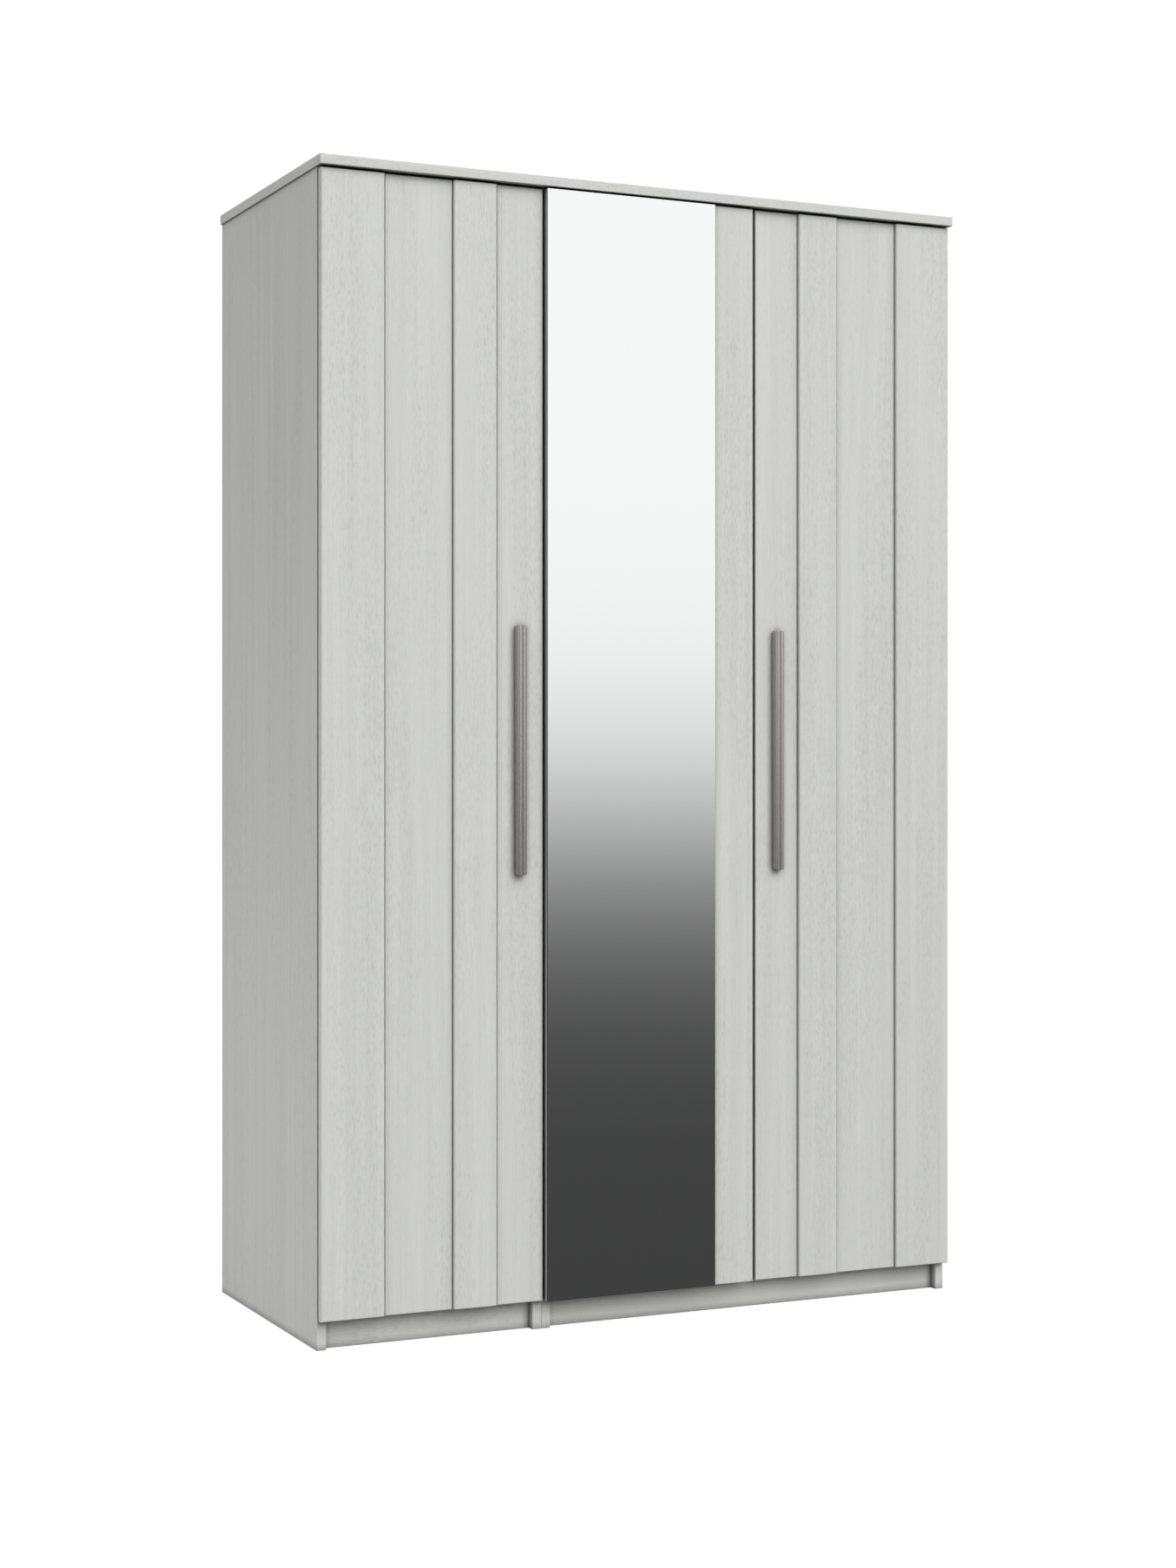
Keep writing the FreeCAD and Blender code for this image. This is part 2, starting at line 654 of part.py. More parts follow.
slab = box("BarSlab", ("-handleWidth / 2", "-handleDepth", 0),
           ("handleWidth", "handleDepth", "handleLength"))
bar = doc.addObject("Part::Common", "Bar")
bar.Base = bar_body
bar.Tool = rounded("RoundedSlab", slab, "handleCorner", runs_back)
bolt_levels = ("boltInset", "handleLength - boltInset")
bolt_holes = [rod("HandleBoltHole", (0, "-screwBite", z), "y", "screwRadius + fitGap", "screwBite")
              for z in bolt_levels]
handle = cut("Handle", bar, bolt_holes)
handle_bolts = [fused("HandleBolt", [
    rod("HandleBoltHead", (0, "doorThick - recessDepth", z), "y", "screwHeadRadius", "screwHeadThick"),
    rod("HandleBoltShank", (0, "-screwBite", z), "y", "screwRadius", "doorThick - recessDepth + screwBite"),
]) for z in bolt_levels]
bolt_pair = group("HandleBoltPair", handle_bolts)
door_bolt_holes = group("DoorBoltHoles", [
    rod("DoorBoltHole", (0, 0, z), "y", "screwRadius + fitGap", "doorThick - recessDepth")
    for z in bolt_levels])
handle_z = "handleMiddle - handleLength / 2"
for name, x in (("left", "leftHandleX"), ("right", "rightHandleX")):
    at = (x, "recessY", handle_z)
    kept(f"{name}_handle", copy(handle, *at))
    kept(f"{name}_handle_bolts", copy(bolt_pair, *at))
    door_cuts[name].append(copy(door_bolt_holes, *at))

# Doors: milled boards, whose recessed stretches run from bottom to top, with a crease along each step.
recessed = "doorThick - recessDepth"


def door_board(name, width, steps):
    """A door board drawn like the hinges. Each step is a place along x and the depth after it."""
    body = doc.addObject("PartDesign::Body", name + "Body")
    points = [(0, 0), (0, "-doorThick")]
    creases = []
    depth = "doorThick"
    for x, next_depth in steps:
        into_recess = depth == "doorThick"
        foot = f"{x} + stepSlope" if into_recess else f"{x} - stepSlope"
        wall = [(x, "-doorThick"), (foot, f"-({recessed})")]
        points += wall if into_recess else wall[::-1]
        crease_x = foot if into_recess else f"{foot} - creaseWidth"
        creases.append(box(name + "Crease", (crease_x, f"-({recessed})", 0),
                           ("creaseWidth", "creaseDepth", "doorHeight")))
        depth = next_depth
    points += [(width, f"-({depth})"), (width, 0)]
    padded(body, outline(body, "XY_Plane", points), "doorHeight")
    width_now, thick_now, top_now = value_of(width), value_of("doorThick"), value_of("doorHeight")
    end_face = -value_of(depth)
    step_places = [value_of(x) for x, _ in steps]
    back = rounded(name + "Back", body, "backRound",
                   lambda edge: lies(edge, x=0, y=0) or lies(edge, x=width_now, y=0))
    stepped = back
    if steps:
        stepped = rounded(name + "Steps", back, "stepRound",
                          lambda edge: any(lies(edge, x=x, y=-thick_now) for x in step_places))

    def outer(edge):
        ends = lies(edge, x=0, y=-thick_now) or lies(edge, x=width_now, y=end_face)
        level = lies(edge, y=-thick_now) or lies(edge, y=end_face)
        return ends or (level and (lies(edge, z=0) or lies(edge, z=top_now)))
    front = rounded(name + "Front", stepped, "frontRound", outer)
    return cut(name + "Creased", front, creases) if creases else front


steps = (
    ("outerBoard", recessed),
    ("outerBoard + wideRecess", "doorThick"),
    ("steppedWidth", recessed),
)
left_board = copy(door_board("LeftDoor", "leftDoorWidth", steps), "leftDoorX", "doorBackY", "doorBottom")
middle_board = copy(door_board("MiddleDoor", "pairDoorWidth", ()), "middleDoorX", "doorBackY", "doorBottom")
right_board = copy(mirrored(door_board("RightDoor", "pairDoorWidth", steps)),
                   "rightX - doorInset", "doorBackY", "doorBottom")
for name, board in (("left", left_board), ("middle", middle_board), ("right", right_board)):
    kept(f"{name}_door_panel", cut(f"{name}DoorPanel", board, door_cuts[name]))

# Mirror: a full-height glass on strips of double-sided tape.
tape_y = "doorFrontY - tapeThick"
mirror_x = "middleDoorX + mirrorInset"
kept("mirror_glass", box("MirrorGlass", (mirror_x, f"{tape_y} - mirrorThick", "doorBottom"),
                         ("mirrorWidth", "mirrorThick", "doorHeight")))
tape_gap = "(mirrorWidth - 2 * tapeMargin - tapeWidth) / 2"
kept("mirror_tape", group("MirrorTape", [
    box("TapeStrip", (f"{mirror_x} + tapeMargin + {i} * {tape_gap}", tape_y, "doorBottom + tapeMargin"),
        ("tapeWidth", "tapeThick", "doorHeight - 2 * tapeMargin")) for i in range(3)]))

# Bumpers: soft pads on each door's back near its free edge.
board_levels = ("baseTop - boardThick / 2", "hatShelfHeight + boardThick / 2")
hinge_ends = ("doorBottom + hingeInset", "sideHeight - doorTopGap - hingeInset")
bumpers = (
    ("left", "leftDoorX + leftDoorWidth - bumperInset", hinge_ends),
    ("middle", "middleDoorX + pairDoorWidth - 2 * bumperInset", board_levels),
    ("right", "rightDoorX + 2 * bumperInset", board_levels),
)
for name, x, levels in bumpers:
    pads = [rod("Pad", (x, "doorBackY", z), "y", "bumperRadius", "bumperThick") for z in levels]
    kept(f"{name}_door_bumpers", group(f"{name}Bumpers", pads))

# Boards: name, lowest corner, extents.
boards = {
    "top_panel": (("leftX - topSideOverhang", "topY", "sideHeight"),
                  ("leftWidth + rightWidth + 2 * topSideOverhang", "backY - topY", "topThick")),
    "hat_shelf": (("rightClearX", "frontY", "hatShelfHeight"),
                  ("rightClear", "backPanelY - frontY - shelfSideGap", "boardThick")),
}
uprights = {
    "left_side_panel": "leftX",
    "middle_left_panel": "jointX - boardThick",
    "middle_right_panel": "jointX",
    "right_side_panel": "rightX - boardThick",
}
for name, x in uprights.items():
    boards[name] = ((x, "frontY", 0), ("boardThick", "sideDepth", "sideHeight"))
groove_y = "backPanelY - grooveGap / 2"
groove_width = "backThick + grooveGap"
groove_floor = "baseTop - grooveDepth"
for name, sides, x, width in carcasses:
    boards[f"{name}_base_panel"] = ((x, "frontY", "plinthHeight"), (width, "sideDepth", "boardThick"))
    boards[f"{name}_plinth"] = ((x, "frontY + plinthSetback", 0), (width, "boardThick", "plinthHeight"))
    boards[f"{name}_back_rail"] = ((x, "railFront", "sideHeight - backRailHeight"),
                                   (width, "boardThick", "backRailHeight"))
    inner_x = f"{x} + {width}"
    groove_height = f"sideHeight - ({groove_floor})"
    drill(sides[0], box("Groove", (f"{x} - grooveDepth", groove_y, groove_floor),
                        ("grooveDepth", groove_width, groove_height)))
    drill(sides[1], box("Groove", (inner_x, groove_y, groove_floor),
                        ("grooveDepth", groove_width, groove_height)))
    drill(f"{name}_base_panel", box("Groove", (x, groove_y, groove_floor),
                                    (width, groove_width, "grooveDepth")))
    drill("top_panel", box("Groove", (f"{x} - grooveDepth", groove_y, "sideHeight"),
                           (f"{width} + 2 * grooveDepth", groove_width, "grooveDepth")))
    let_in = "(grooveDepth - grooveGap)"
    back_size = (f"{width} + 2 * {let_in}", "backThick", f"sideHeight - baseTop + 2 * {let_in}")
    back_start = (f"{x} - {let_in}", "backPanelY", f"baseTop - {let_in}")
    kept(f"{name}_back_panel", box("BackPanel", back_start, back_size))
for level in range(shelf_count):
    kept(f"left_shelf_{level + 1}", box("Shelf", (
        "leftClearX + shelfSideGap", "frontY + shelfSetback", f"shelfFirst + {level} * shelfPitch"),
        ("leftClear - 2 * shelfSideGap", "shelfDepth", "boardThick")))


def front_edges(edge):
    """The long edges of a board's front, which the foil wraps round."""
    return lies(edge, y=board_front) and edge.Length > value_of("boardThick") * 2


for name, (corner, extent) in boards.items():
    plain = box(name + "Plain", corner, extent)
    board_front = value_of(corner[1])
    foiled = rounded(name + "Foiled", plain, "edgeRound", front_edges)
    tools = fitting_cuts.get(name)
    kept(name, cut(name + "Cut", foiled, tools) if tools else foiled)

doc.recompute()
failed = [thing.Name for thing in doc.Objects if {"Invalid", "Error"} & set(thing.State)]
if failed:
    raise SystemExit(f"failed objects: {failed}")
for thing in sub_parts:
    if thing.Shape.isNull() or not thing.Shape.isValid() or not thing.Shape.Solids:
        raise SystemExit(f"bad shape: {thing.Label}")
os.makedirs("parts", exist_ok=True)
for thing in sub_parts:
    thing.Shape.exportStep(f"parts/{thing.Label}.step")
    print(thing.Label, len(thing.Shape.Solids), "solids", round(thing.Shape.Volume / 1000, 2), "cm3")
print(len(sub_parts), "sub-parts")
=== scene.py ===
import math

import bpy
import numpy as np
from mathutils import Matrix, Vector


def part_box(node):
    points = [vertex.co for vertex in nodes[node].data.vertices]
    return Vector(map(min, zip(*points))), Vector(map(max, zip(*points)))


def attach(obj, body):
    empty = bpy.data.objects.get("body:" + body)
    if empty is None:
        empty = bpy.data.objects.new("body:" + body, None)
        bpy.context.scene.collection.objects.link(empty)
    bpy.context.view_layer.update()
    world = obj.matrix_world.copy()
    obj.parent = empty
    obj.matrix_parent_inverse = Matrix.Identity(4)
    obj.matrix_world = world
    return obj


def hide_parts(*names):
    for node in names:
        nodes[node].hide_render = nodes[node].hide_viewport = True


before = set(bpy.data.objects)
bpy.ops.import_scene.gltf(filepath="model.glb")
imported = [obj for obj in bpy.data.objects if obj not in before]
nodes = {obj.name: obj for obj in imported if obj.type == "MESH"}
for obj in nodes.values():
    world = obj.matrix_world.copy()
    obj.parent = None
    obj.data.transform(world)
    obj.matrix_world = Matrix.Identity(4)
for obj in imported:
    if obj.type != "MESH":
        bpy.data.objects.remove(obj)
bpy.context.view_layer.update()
print("frame loaded:", len(nodes), "nodes")


# ---------- small helpers

def addNode(tree, kind, settings=None, **inputs):
    """A shader node with its settings and its unlinked input values."""
    node = tree.nodes.new(kind)
    for name, value in (settings or {}).items():
        setattr(node, name, value)
    for name, value in inputs.items():
        socket = node.inputs[int(name[1:])] if name[0] == "i" and name[1:].isdigit() else node.inputs[name.replace("_", " ")]
        socket.default_value = value
    return node


def mathNode(tree, operation, first, second=None, third=None, clamp=False):
    """One sum on sockets or plain numbers, and its output socket."""
    node = tree.nodes.new("ShaderNodeMath")
    node.operation = operation
    node.use_clamp = clamp
    for slot, term in enumerate((first, second, third)):
        if term is None:
            continue
        if isinstance(term, bpy.types.NodeSocket):
            tree.links.new(term, node.inputs[slot])
        else:
            node.inputs[slot].default_value = term
    return node.outputs[0]


def spanNode(tree, value, low, high, toLow=0.0, toHigh=1.0):
    """The value carried from one span to another, smoothly and no further."""
    node = addNode(tree, "ShaderNodeMapRange", {"interpolation_type": "SMOOTHSTEP"})
    for slot, number in zip((1, 2, 3, 4), (low, high, toLow, toHigh)):
        node.inputs[slot].default_value = number
    tree.links.new(value, node.inputs[0])
    return node.outputs[0]


def scaledPoint(tree, point, scale):
    """The point stretched differently along each axis."""
    node = tree.nodes.new("ShaderNodeVectorMath")
    node.operation = "MULTIPLY"
    tree.links.new(point, node.inputs[0])
    node.inputs[1].default_value = scale
    return node.outputs[0]


def noiseNode(tree, point, scale, detail=2.0, roughness=0.5, distortion=0.0):
    """Soft noise between 0 and 1 at a point."""
    node = addNode(tree, "ShaderNodeTexNoise", Scale=scale, Detail=detail, Roughness=roughness, Distortion=distortion)
    tree.links.new(point, node.inputs["Vector"])
    return node.outputs[0]


def newGroup(name, inputs, outputs):
    """An empty shader node group with named inputs (name, kind, value) and outputs (name, kind)."""
    group = bpy.data.node_groups.new(name, "ShaderNodeTree")
    for label, kind, value in inputs:
        socket = group.interface.new_socket(label, in_out="INPUT", socket_type=kind)
        if value is not None:
            socket.default_value = value
    for label, kind in outputs:
        group.interface.new_socket(label, in_out="OUTPUT", socket_type=kind)
    return group, group.nodes.new("NodeGroupInput"), group.nodes.new("NodeGroupOutput")


def newMaterial(name):
    """A material with a Principled shader and nothing else."""
    material = bpy.data.materials.new(name)
    material.use_nodes = True
    tree = material.node_tree
    shader = next(n for n in tree.nodes if n.type == "BSDF_PRINCIPLED")
    return material, tree, shader


def paintNode(name, material):
    """Give a CAD node its finish."""
    slots = nodes[name].data.materials
    slots.clear()
    slots.append(material)


def mixColour(tree, factor, first, second):
    """Two plain colours mixed by a factor socket."""
    node = addNode(tree, "ShaderNodeMix", {"data_type": "RGBA"})
    node.inputs["A"].default_value = (*first, 1)
    node.inputs["B"].default_value = (*second, 1)
    tree.links.new(factor, node.inputs["Factor"])
    return node.outputs["Result"]


paintedShadeSettings = {"reach": 0.013, "power": 0.95, "samples": 8}   # how far and how strongly painted shade darkens the colour near close corners and in gaps


def paintCornerShade(tree, colour):
    # painted shade: colour * openness to a power, where openness is 1 on an open face and falls towards 0 in a gap, so
    # corners, gaps and undersides are painted darker
    near = tree.nodes.new("ShaderNodeAmbientOcclusion")
    near.samples = paintedShadeSettings["samples"]
    near.inputs["Distance"].default_value = paintedShadeSettings["reach"]
    openness = mathNode(tree, "POWER", near.outputs["AO"], paintedShadeSettings["power"])
    node = addNode(tree, "ShaderNodeMix", {"data_type": "RGBA", "blend_type": "MULTIPLY"})
    node.inputs["Factor"].default_value = 1.0
    tree.links.new(colour, node.inputs["A"])
    tree.links.new(openness, node.inputs["B"])
    return node.outputs["Result"]


# ---------- shared effects

def makeFoilGrain():
    """Embossed wood foil. The grain runs along Z of the point that comes in."""
    group, source, sink = newGroup("foilGrain", [("Point", "NodeSocketVector", None), ("Figure", "NodeSocketFloat", 1.0)],
                                   [("Tone", "NodeSocketFloat"), ("Height", "NodeSocketFloat")])
    point = source.outputs["Point"]
    bend = noiseNode(group, scaledPoint(group, point, (5, 5, 1.1)), 1.0, 3.0, 0.55)
    wander = group.nodes.new("ShaderNodeVectorMath")
    wander.operation = "MULTIPLY_ADD"
    group.links.new(bend, wander.inputs[0])
    wander.inputs[1].default_value = (0.03, 0.03, 0)
    group.links.new(point, wander.inputs[2])
    bentPoint = wander.outputs[0]
    figure = noiseNode(group, scaledPoint(group, bentPoint, (70, 70, 0.9)), 1.0, 2.0, 0.5)
    streaks = noiseNode(group, scaledPoint(group, bentPoint, (430, 430, 5)), 1.0, 3.0, 0.65)
    pores = noiseNode(group, scaledPoint(group, bentPoint, (1100, 1100, 90)), 1.0, 2.0, 0.6)
    poreMask = spanNode(group, pores, 0.5, 0.68)
    patches = spanNode(group, noiseNode(group, scaledPoint(group, bentPoint, (16, 16, 1.6)), 1.0, 2.0), 0.35, 0.65)
    poreDepth = mathNode(group, "MULTIPLY", poreMask, mathNode(group, "MULTIPLY_ADD", patches, 0.7, 0.3))
    soft = mathNode(group, "MULTIPLY_ADD", streaks, 0.45, mathNode(group, "MULTIPLY", figure, 0.55))
    tone = mathNode(group, "MULTIPLY_ADD", poreDepth, -0.6, soft)
    tone = mathNode(group, "MULTIPLY_ADD", mathNode(group, "SUBTRACT", tone, 0.4), source.outputs["Figure"], 0.5)
    height = mathNode(group, "MULTIPLY_ADD", poreDepth, -1.0, mathNode(group, "MULTIPLY", streaks, 0.5))
    group.links.new(tone, sink.inputs["Tone"])
    group.links.new(height, sink.inputs["Height"])
    return group


foilGrain = makeFoilGrain()
print("shared effects ready")


# ---------- finishes

foil = {
    "dark": (0.545, 0.552, 0.520),
    "light": (0.745, 0.753, 0.720),
    "roughness": 0.42,
    "figure": 1.0,
    "emboss": 0.00012,   # depth of the grain in metres
}
grainTurns = {"upright": (0, 0, 0), "level": (0, math.pi / 2, 0), "deep": (math.pi / 2, 0, 0)}


def makeFoil(name, grain, shift):
    """Off-white foil whose grain runs upright, level along X, or deep along Y."""
    material, tree, shader = newMaterial(name)
    coords = tree.nodes.new("ShaderNodeTexCoord")
    turn = addNode(tree, "ShaderNodeMapping")
    turn.inputs["Rotation"].default_value = grainTurns[grain]
    turn.inputs["Location"].default_value = (shift, shift * 0.7, shift * 1.3)
    tree.links.new(coords.outputs["Object"], turn.inputs["Vector"])
    grainNode = tree.nodes.new("ShaderNodeGroup")
    grainNode.node_tree = foilGrain
    grainNode.inputs["Figure"].default_value = foil["figure"]
    tree.links.new(turn.outputs["Vector"], grainNode.inputs["Point"])
    tone = grainNode.outputs["Tone"]
    # painted shade: the foil colour is darkened near corners, gaps, steps and handles, where shade falls
    tree.links.new(paintCornerShade(tree, mixColour(tree, tone, foil["dark"], foil["light"])), shader.inputs["Base Color"])
    rough = mathNode(tree, "MULTIPLY_ADD", tone, -0.1, foil["roughness"] + 0.05)
    tree.links.new(rough, shader.inputs["Roughness"])
    bump = addNode(tree, "ShaderNodeBump", Strength=1.0, Distance=foil["emboss"])
    tree.links.new(grainNode.outputs["Height"], bump.inputs["Height"])
    tree.links.new(bump.outputs["Normal"], shader.inputs["Normal"])
    return material


def makeMetal(name, colour, roughness, brush=0.0, patch=0.1):
    """Plain plated or painted metal with a faint unevenness."""
    material, tree, shader = newMaterial(name)
    coords = tree.nodes.new("ShaderNodeTexCoord")
    cloud = noiseNode(tree, coords.outputs["Object"], 180.0, 3.0, 0.6)
    tree.links.new(mathNode(tree, "MULTIPLY_ADD", cloud, patch, roughness - patch / 2), shader.inputs["Roughness"])
    darker = tuple(c * (1 - patch) for c in colour)
    # painted shade: the metal colour is darkened in its grooves and where it meets other parts
    tree.links.new(paintCornerShade(tree, mixColour(tree, cloud, darker, colour)), shader.inputs["Base Color"])
    shader.inputs["Metallic"].default_value = 1.0
    if brush:
        lines = noiseNode(tree, scaledPoint(tree, coords.outputs["Object"], (4000, 4000, 8)), 1.0, 2.0)
        bump = addNode(tree, "ShaderNodeBump", Strength=1.0, Distance=brush)
        tree.links.new(lines, bump.inputs["Height"])
        tree.links.new(bump.outputs["Normal"], shader.inputs["Normal"])
    return material


def makePlain(name, colour, roughness, spread=0.06):
    """A matt finish with a faint cloud in its colour."""
    material, tree, shader = newMaterial(name)
    coords = tree.nodes.new("ShaderNodeTexCoord")
    cloud = noiseNode(tree, coords.outputs["Object"], 60.0, 4.0, 0.6)
    darker = tuple(c * (1 - spread) for c in colour)
    tree.links.new(mixColour(tree, cloud, darker, colour), shader.inputs["Base Color"])
    shader.inputs["Roughness"].default_value = roughness
    return material


glass = {"silver": (0.93, 0.935, 0.935), "edge": (0.035, 0.045, 0.04), "edgeRoughness": 0.3}


def makeMirror():
    # a clean reflection in front, and a dark green cut edge
    material, tree, shader = newMaterial("silveredGlass")
    coords = tree.nodes.new("ShaderNodeTexCoord")
    facing = tree.nodes.new("ShaderNodeSeparateXYZ")
    tree.links.new(coords.outputs["Normal"], facing.inputs[0])
    front = spanNode(tree, facing.outputs["Y"], -0.95, -0.8, 1.0, 0.0)
    tree.links.new(mixColour(tree, front, glass["edge"], glass["silver"]), shader.inputs["Base Color"])
    tree.links.new(front, shader.inputs["Metallic"])
    tree.links.new(mathNode(tree, "MULTIPLY_ADD", front, -glass["edgeRoughness"], glass["edgeRoughness"]),
                   shader.inputs["Roughness"])
    return material


doorFoils = {side: makeFoil(side + "DoorFoil", "upright", shift)
             for side, shift in (("left", 0.0), ("middle", 3.1), ("right", 7.7))}
sideFoil = makeFoil("sideFoil", "upright", 12.3)
levelFoil = makeFoil("levelFoil", "level", 5.2)
hardboard = makePlain("paintedHardboard", (0.62, 0.625, 0.60), 0.6)
silvered = makeMirror()
pewter = makeMetal("pewter", (0.60, 0.575, 0.57), 0.22, 0.000006, 0.04)
steel = makeMetal("platedSteel", (0.62, 0.61, 0.60), 0.3)
zinc = makeMetal("castZinc", (0.5, 0.5, 0.5), 0.45)
tube = makeMetal("brightTube", (0.75, 0.75, 0.76), 0.12)
beech = makePlain("beech", (0.62, 0.43, 0.25), 0.6, 0.2)
tape = makePlain("foamTape", (0.8, 0.8, 0.77), 0.8)
pad = makePlain("clearPad", (0.75, 0.75, 0.73), 0.3)

finishes = {
    "left_door_panel": doorFoils["left"],
    "middle_door_panel": doorFoils["middle"],
    "right_door_panel": doorFoils["right"],
    "hanging_rail": tube,
    "rail_sockets": tube,
    "cam_locks": zinc,
    "plinth_dowels": beech,
    "mirror_tape": tape,
    "mirror_glass": silvered,
}
for name in nodes:
    if name in finishes:
        paintNode(name, finishes[name])
    elif name.endswith("_handle"):
        paintNode(name, pewter)
    elif name.endswith("bumpers"):
        paintNode(name, pad)
    elif name.endswith("back_panel"):
        paintNode(name, hardboard)
    elif name.endswith("side_panel") or name.startswith("middle_left") or name == "middle_right_panel":
        paintNode(name, sideFoil)
    elif name.endswith(("_panel", "plinth", "rail", "shelf")) or "_shelf_" in name:
        paintNode(name, levelFoil)
    else:
        paintNode(name, steel)
print("finishes ready")


# ---------- handles: a bar with two rounded ridges in front and a finger groove along each side

handle = {
    "ridgeTop": 0.0032,       # half the way between the ridges' crests
    "ridgeHalf": 0.0020,
    "valleyDepth": 0.0017,
    "shoulder": 0.0034,
    "gripDepth": 0.0022,
    "gripEnd": 0.0066,
    "lip": 0.0014,
    "corner": 0.004,
    "softening": 3,           # times the profile's corners are cut
    "rows": 9,                # rows over each rounded end
}


def makeHandle(side):
    # half a profile of points (across, out from the door), mirrored, with every corner cut at its quarters a few
    # times, and carried up the bar. Near an end at a distance s the profile is held within half the width less
    # r - sqrt(r^2 - (r - s)^2), with r the corner's radius.
    low, high = (np.array(corner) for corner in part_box(side + "_handle"))
    half = (high[0] - low[0]) / 2
    deep = high[1] - low[1]
    edge = half - handle["shoulder"]
    inner = handle["ridgeTop"] - handle["ridgeHalf"]
    crest = deep - 0.0002
    sideOn = np.array([
        (half, 0), (half, handle["lip"]),
        (half - handle["gripDepth"], handle["lip"] + handle["gripDepth"] * 0.6),
        (half - handle["gripDepth"], handle["gripEnd"] - handle["gripDepth"] * 0.6),
        (half, handle["gripEnd"]), (half, deep - handle["shoulder"]),
        (edge + 0.0008, deep - 0.0014), (handle["ridgeTop"] + handle["ridgeHalf"], deep - 0.0012),
        (handle["ridgeTop"] + 0.0012, deep), (handle["ridgeTop"] - 0.0006, deep), (inner, crest - 0.0006),
        (0.0009, deep - handle["valleyDepth"]),
    ])
    loop = np.concatenate([sideOn, (sideOn * (-1, 1))[::-1]])
    for _ in range(handle["softening"]):
        following = np.roll(loop, -1, axis=0)
        loop = np.stack([loop * 0.75 + following * 0.25, loop * 0.25 + following * 0.75], axis=1).reshape(-1, 2)
    rise = handle["corner"] * (1 - np.cos(np.linspace(0, math.pi / 2, handle["rows"])))
    heights = np.concatenate([low[2] + rise, (high[2] - rise)[::-1]])
    fromEnd = np.minimum(np.minimum(heights - low[2], high[2] - heights), handle["corner"])
    reach = half - handle["corner"] + np.sqrt(handle["corner"] ** 2 - (handle["corner"] - fromEnd) ** 2)
    across = np.clip(loop[None, :, 0], -reach[:, None], reach[:, None])
    count = len(loop)
    points = np.empty((len(heights), count, 3))
    points[..., 0] = (low[0] + high[0]) / 2 + across
    points[..., 1] = high[1] - np.clip(loop[None, :, 1], 0, deep)
    points[..., 2] = heights[:, None]
    row, step = np.meshgrid(np.arange(len(heights) - 1), np.arange(count), indexing="ij")
    first = (row * count + step).ravel()
    second = (row * count + (step + 1) % count).ravel()
    quads = np.stack([first, first + count, second + count, second], axis=1)
    ends = [list(range(count)), list(range((len(heights) - 1) * count, len(heights) * count))[::-1]]
    mesh = bpy.data.meshes.new(side + "HandleBar")
    mesh.from_pydata(points.reshape(-1, 3).tolist(), [], quads.tolist() + ends)
    smooth = np.ones(len(mesh.polygons), dtype=bool)
    smooth[-2:] = False
    mesh.polygons.foreach_set("use_smooth", smooth)
    mesh.validate()
    mesh.materials.append(pewter)
    piece = bpy.data.objects.new(side + "HandleBar", mesh)
    bpy.context.scene.collection.objects.link(piece)
    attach(piece, side + "_door")
    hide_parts(side + "_handle")
    return piece


handleBars = [makeHandle(side) for side in ("left", "right")]
print("handles ready")


# ---------- stage, light and camera

stage = {
    "floorSize": 30.0,
    "floorGlow": 0.70,          # how white the floor reads
    "floorTone": 0.42,
    "floorBounce": 0.08,        # how much light it returns
    "ambient": 0.86,
    "key": 1.80,
    "keyTurn": (52, 0, 22),     # degrees: tilt from straight down, then turn about Z
    "keySoftness": 50,
    "fill": 6.0,                # watts of the low lamp beside the left panel
    "fillPlace": (-1.9, 0.0, 0.2),
    "fillSize": (0.3, 1.4),
    "glossTop": 0.99,           # what mirrors see high up
    "glossBottom": 0.052,       # and low down
    "glossHorizon": -0.0207,
    "glossFade": 0.0265,
    "glossFloor": 0.5,
    "glossFloorFrom": -0.2,
    "glossAhead": (0.37, -0.93),
    "glossAside": 0.42,
}


def flatPiece(name, size):
    """A level square on the floor."""
    mesh = bpy.data.meshes.new(name)
    half = size / 2
    mesh.from_pydata([(-half, -half, 0), (half, -half, 0), (half, half, 0), (-half, half, 0)], [], [(0, 1, 2, 3)])
    piece = bpy.data.objects.new(name, mesh)
    bpy.context.scene.collection.objects.link(piece)
    return piece


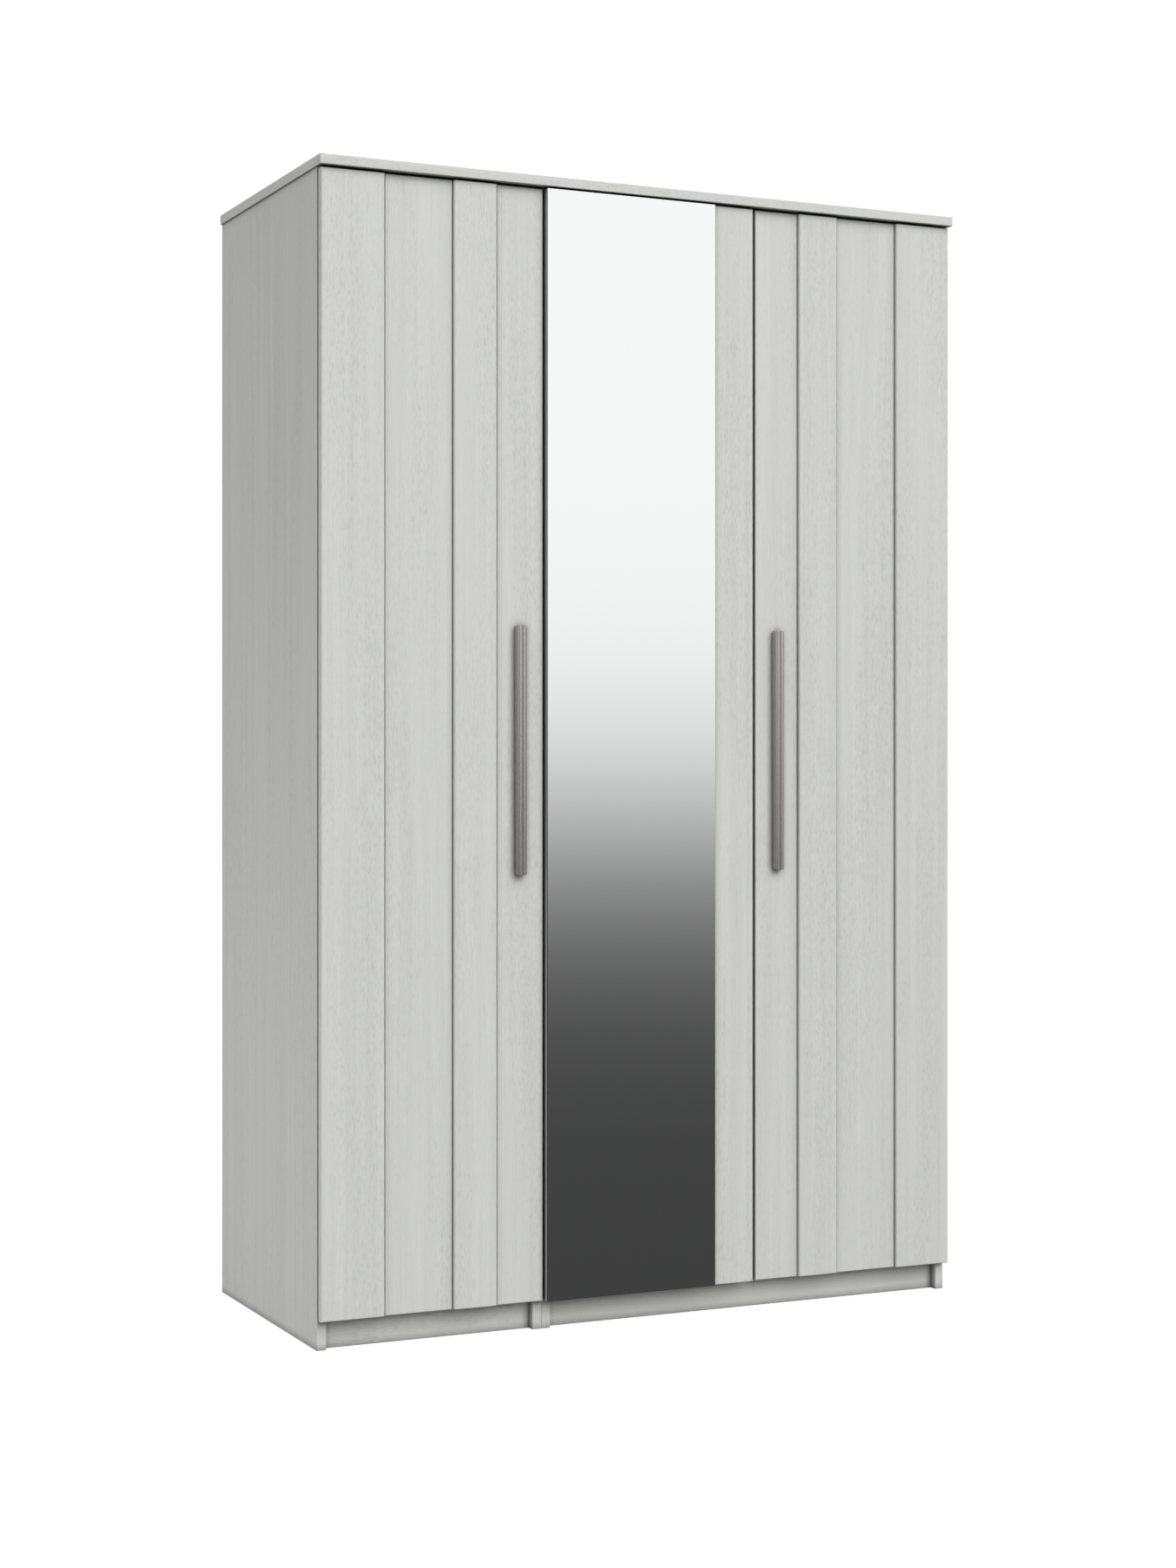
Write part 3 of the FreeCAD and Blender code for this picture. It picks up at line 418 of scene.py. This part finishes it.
def makeWorld():
    """White for the camera, an even glow for matt surfaces, and a studio that darkens downwards for gloss."""
    world = bpy.data.worlds.new("studio")
    bpy.context.scene.world = world
    world.use_nodes = True
    tree = world.node_tree
    tree.nodes.clear()
    paths = tree.nodes.new("ShaderNodeLightPath")
    coords = tree.nodes.new("ShaderNodeTexCoord")
    parts = tree.nodes.new("ShaderNodeSeparateXYZ")
    tree.links.new(coords.outputs["Generated"], parts.inputs[0])
    # level = low + (high - low) / (1 + e to the power of (horizon - z) / fade), with z the upward part of the direction
    power = mathNode(tree, "MULTIPLY_ADD", parts.outputs["Z"], -1 / stage["glossFade"], stage["glossHorizon"] / stage["glossFade"])
    rise = mathNode(tree, "DIVIDE", 1.0, mathNode(tree, "ADD", mathNode(tree, "EXPONENT", power), 1.0))
    level = mathNode(tree, "MULTIPLY_ADD", rise, stage["glossTop"] - stage["glossBottom"], stage["glossBottom"])
    # the pale floor near by shows again where the direction points steeply down
    nearFloor = spanNode(tree, parts.outputs["Z"], stage["glossFloorFrom"] - 0.25, stage["glossFloorFrom"],
                         stage["glossFloor"], 0.0)
    level = mathNode(tree, "ADD", level, nearFloor)
    # brightest ahead of the doors, darker round to the sides
    across = mathNode(tree, "MULTIPLY", parts.outputs["X"], stage["glossAhead"][0])
    ahead = mathNode(tree, "MULTIPLY_ADD", parts.outputs["Y"], stage["glossAhead"][1], across)
    level = mathNode(tree, "MULTIPLY", level, spanNode(tree, ahead, 0.0, 0.8, stage["glossAside"], 1.0))
    glow = addNode(tree, "ShaderNodeBackground", Strength=stage["ambient"])
    glow.inputs["Color"].default_value = (1, 1, 1, 1)
    white = addNode(tree, "ShaderNodeBackground", Strength=1.0)
    white.inputs["Color"].default_value = (1, 1, 1, 1)
    gloss = addNode(tree, "ShaderNodeBackground", Strength=1.0)
    tree.links.new(level, gloss.inputs["Color"])
    forGloss = tree.nodes.new("ShaderNodeMixShader")
    tree.links.new(paths.outputs["Is Glossy Ray"], forGloss.inputs[0])
    tree.links.new(glow.outputs[0], forGloss.inputs[1])
    tree.links.new(gloss.outputs[0], forGloss.inputs[2])
    forCamera = tree.nodes.new("ShaderNodeMixShader")
    tree.links.new(paths.outputs["Is Camera Ray"], forCamera.inputs[0])
    tree.links.new(forGloss.outputs[0], forCamera.inputs[1])
    tree.links.new(white.outputs[0], forCamera.inputs[2])
    output = tree.nodes.new("ShaderNodeOutputWorld")
    tree.links.new(forCamera.outputs[0], output.inputs["Surface"])


def makeFloor():
    """A pale floor that reads white to the camera but keeps a soft shadow."""
    floor = flatPiece("floor", stage["floorSize"])
    material, tree, shader = newMaterial("paleFloor")
    shader.inputs["Base Color"].default_value = (*[stage["floorBounce"]] * 3, 1)
    shader.inputs["Roughness"].default_value = 1.0
    shader.inputs["Specular IOR Level"].default_value = 0.0
    shown = addNode(tree, "ShaderNodeBsdfDiffuse")
    shown.inputs["Color"].default_value = (*[stage["floorTone"]] * 3, 1)
    glow = addNode(tree, "ShaderNodeEmission", Strength=stage["floorGlow"])
    both = tree.nodes.new("ShaderNodeAddShader")
    tree.links.new(shown.outputs[0], both.inputs[0])
    tree.links.new(glow.outputs[0], both.inputs[1])
    paths = tree.nodes.new("ShaderNodeLightPath")
    mixed = tree.nodes.new("ShaderNodeMixShader")
    tree.links.new(paths.outputs["Is Camera Ray"], mixed.inputs[0])
    tree.links.new(shader.outputs[0], mixed.inputs[1])
    tree.links.new(both.outputs[0], mixed.inputs[2])
    output = next(n for n in tree.nodes if n.type == "OUTPUT_MATERIAL")
    tree.links.new(mixed.outputs[0], output.inputs["Surface"])
    floor.data.materials.append(material)
    floor.visible_glossy = False


def makeLight():
    lamp = bpy.data.lights.new("key", "SUN")
    lamp.energy = stage["key"]
    lamp.angle = math.radians(stage["keySoftness"])
    key = bpy.data.objects.new("key", lamp)
    key.rotation_euler = [math.radians(a) for a in stage["keyTurn"]]
    key.visible_glossy = False
    bpy.context.scene.collection.objects.link(key)
    lamp = bpy.data.lights.new("fill", "AREA")
    lamp.energy = stage["fill"]
    lamp.shape = "RECTANGLE"
    lamp.size, lamp.size_y = stage["fillSize"]
    fill = bpy.data.objects.new("fill", lamp)
    fill.location = stage["fillPlace"]
    fill.rotation_euler = (0, -math.pi / 2, 0)
    fill.visible_glossy = False
    fill.visible_camera = False
    bpy.context.scene.collection.objects.link(fill)


cameraSetup = {
    "place": (-1.8551, -3.9866, 0.8984),
    "turn": 24.974,
    "lens": 60.295,
    "shiftDown": 0.01854,
}


def makeCamera():
    """A level camera to the left of the wardrobe."""
    data = bpy.data.cameras.new("camera")
    data.sensor_width = 36
    data.lens = cameraSetup["lens"]
    data.shift_y = -cameraSetup["shiftDown"]
    camera = bpy.data.objects.new("camera", data)
    camera.location = cameraSetup["place"]
    camera.rotation_euler = (math.pi / 2, 0, -math.radians(cameraSetup["turn"]))
    bpy.context.scene.collection.objects.link(camera)
    bpy.context.scene.camera = camera


makeWorld()
makeFloor()
makeLight()
makeCamera()
bpy.context.scene.view_settings.view_transform = "Standard"
print("stage ready")
